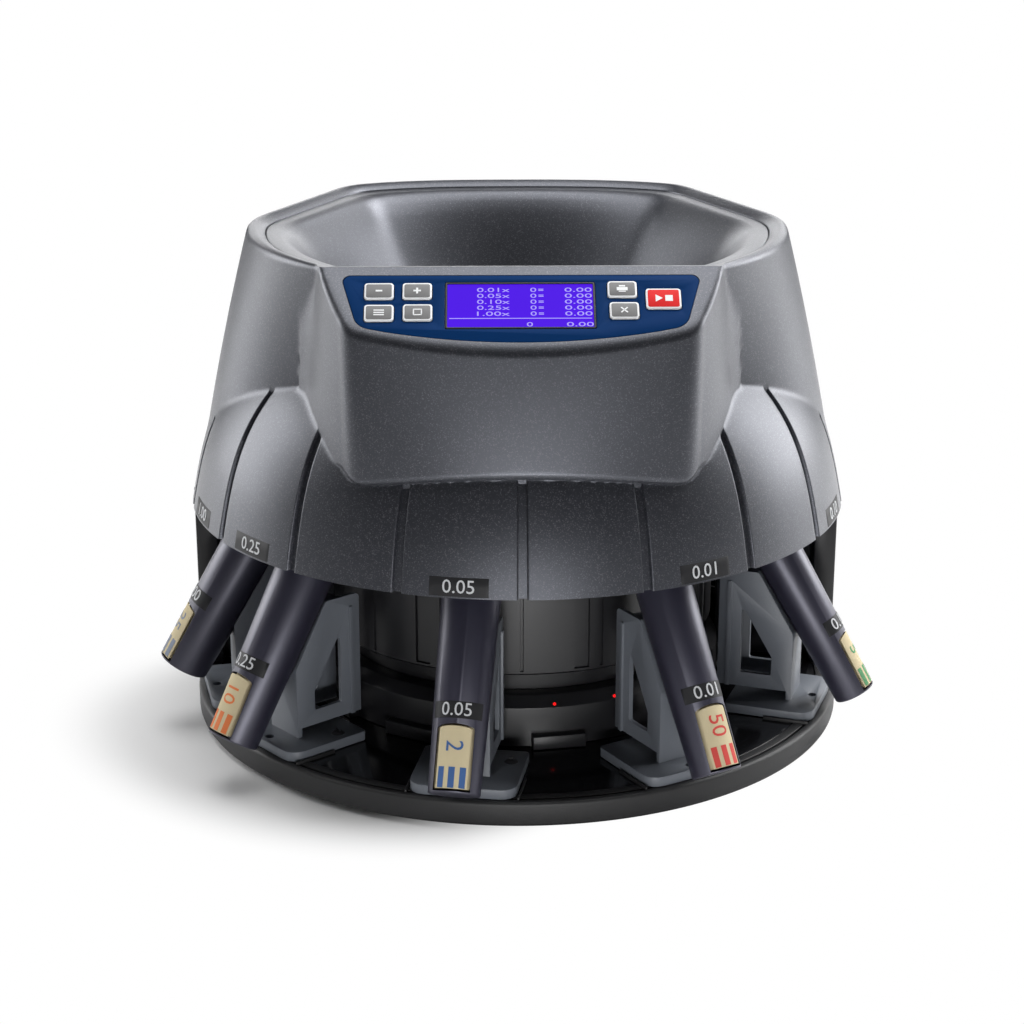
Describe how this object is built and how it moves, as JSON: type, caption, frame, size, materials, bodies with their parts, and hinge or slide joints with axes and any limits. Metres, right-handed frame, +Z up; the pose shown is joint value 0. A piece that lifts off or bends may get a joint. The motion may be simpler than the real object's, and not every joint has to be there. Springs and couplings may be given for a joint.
{
  "type": "coin counter",
  "caption": "Desktop coin counter and sorter with a round hopper, a sloping control panel, a segmented domed skirt and leaning coin wrapper tubes on a round tray",
  "frame": {"origin": "the middle of the round tray's underside, 2.5 mm above the surface that the rubber feet stand on", "axes": "+Z is up, -Y points to the operator and the control panel faces -Y and up, +X is to the operator's right"},
  "size_m": [0.3847, 0.3565, 0.2685],
  "materials": {
    "housing": "fine grained grey with a light sparkle",
    "black": "satin black",
    "tray": "satin black, glossy floor",
    "bracket": "satin blue-grey",
    "tube": "glossy blue-black",
    "paper": "uncoated paper with a coloured stripe",
    "panel": "dark blue overlay",
    "key": "grey with a white border",
    "key_red": "red with a white border",
    "display": "lit violet blue",
    "board": "green circuit board",
    "steel": "brushed",
    "rubber": "matt",
    "gear": "white acetal"
  },
  "bodies": {
    "base": {"base_tray": "tray", "rubber_foot_1": "rubber", "rubber_foot_2": "rubber", "rubber_foot_3": "rubber", "rubber_foot_4": "rubber", "column": "black", "sensor_ring": "black", "rear_wall": "black", "upper_housing": "housing", "control_panel": "panel", "display_window": "display", "display_module": "steel", "control_board": "board", "hopper_bowl": "housing", "deck_plate": "steel", "sorting_ring": "steel", "upper_bearing": "steel", "lower_bearing": "steel", "motor_bracket": "steel", "motor": "steel", "power_inlet": "black", "switch_frame": "black", "printer_port": "black", "power_supply": "steel", "chute_100": "black", "chute_025": "black", "chute_005": "black", "chute_001": "black", "chute_010": "black"},
    "feed": {"feed_disc": "steel", "disc_cap": "black", "drive_shaft": "steel", "drive_gear": "gear"},
    "pinion": {"motor_pinion": "gear"},
    "rocker": {"power_rocker": "black"},
    "minus_key": {"minus_key": "key"},
    "plus_key": {"plus_key": "key"},
    "mode_key": {"mode_key": "key"},
    "set_key": {"set_key": "key"},
    "print_key": {"print_key": "key"},
    "clear_key": {"clear_key": "key"},
    "start_key": {"start_key": "key_red"},
    "station_100": {"tube_bracket_100": "bracket", "coin_tube_100": "tube", "coin_wrapper_100": "paper"},
    "station_025": {"tube_bracket_025": "bracket", "coin_tube_025": "tube", "coin_wrapper_025": "paper"},
    "station_005": {"tube_bracket_005": "bracket", "coin_tube_005": "tube", "coin_wrapper_005": "paper"},
    "station_001": {"tube_bracket_001": "bracket", "coin_tube_001": "tube", "coin_wrapper_001": "paper"},
    "station_010": {"tube_bracket_010": "bracket", "coin_tube_010": "tube", "coin_wrapper_010": "paper"}
  },
  "joints": [
    {"name": "feed_spin", "type": "hinge", "parent": "base", "child": "feed", "pos_m": [0, 0, 0.18], "axis": [0, 0, 1], "continuous": true},
    {"name": "pinion_spin", "type": "hinge", "parent": "base", "child": "pinion", "pos_m": [0.045, 0, 0.16], "axis": [0, 0, 1], "continuous": true},
    {"name": "power_rocker_tilt", "type": "hinge", "parent": "base", "child": "rocker", "pos_m": [-0.048, 0.1513, 0.074], "axis": [0, 0, 1], "range_deg": [0, 20]},
    {"name": "minus_press", "type": "slide", "parent": "base", "child": "minus_key", "axis": [0, 0.5939, -0.8046], "range_m": [0, 0.0008], "stiffness_N_per_m": 600},
    {"name": "plus_press", "type": "slide", "parent": "base", "child": "plus_key", "axis": [0, 0.5939, -0.8046], "range_m": [0, 0.0008], "stiffness_N_per_m": 600},
    {"name": "mode_press", "type": "slide", "parent": "base", "child": "mode_key", "axis": [0, 0.5939, -0.8046], "range_m": [0, 0.0008], "stiffness_N_per_m": 600},
    {"name": "set_press", "type": "slide", "parent": "base", "child": "set_key", "axis": [0, 0.5939, -0.8046], "range_m": [0, 0.0008], "stiffness_N_per_m": 600},
    {"name": "print_press", "type": "slide", "parent": "base", "child": "print_key", "axis": [0, 0.5939, -0.8046], "range_m": [0, 0.0008], "stiffness_N_per_m": 600},
    {"name": "clear_press", "type": "slide", "parent": "base", "child": "clear_key", "axis": [0, 0.5939, -0.8046], "range_m": [0, 0.0008], "stiffness_N_per_m": 600},
    {"name": "start_press", "type": "slide", "parent": "base", "child": "start_key", "axis": [0, 0.5939, -0.8046], "range_m": [0, 0.0008], "stiffness_N_per_m": 600},
    {"name": "station_100_slide", "type": "slide", "parent": "base", "child": "station_100", "axis": [-0.9744, -0.225, 0], "range_m": [0, 0.04]},
    {"name": "station_025_slide", "type": "slide", "parent": "base", "child": "station_025", "axis": [-0.766, -0.6428, 0], "range_m": [0, 0.04]},
    {"name": "station_005_slide", "type": "slide", "parent": "base", "child": "station_005", "axis": [-0.1736, -0.9848, 0], "range_m": [0, 0.04]},
    {"name": "station_001_slide", "type": "slide", "parent": "base", "child": "station_001", "axis": [0.5, -0.866, 0], "range_m": [0, 0.04]},
    {"name": "station_010_slide", "type": "slide", "parent": "base", "child": "station_010", "axis": [0.9397, -0.342, 0], "range_m": [0, 0.04]}
  ],
  "couplings": [
    {"joint": "pinion_spin", "follows": "feed_spin", "ratio": -4}
  ]
}
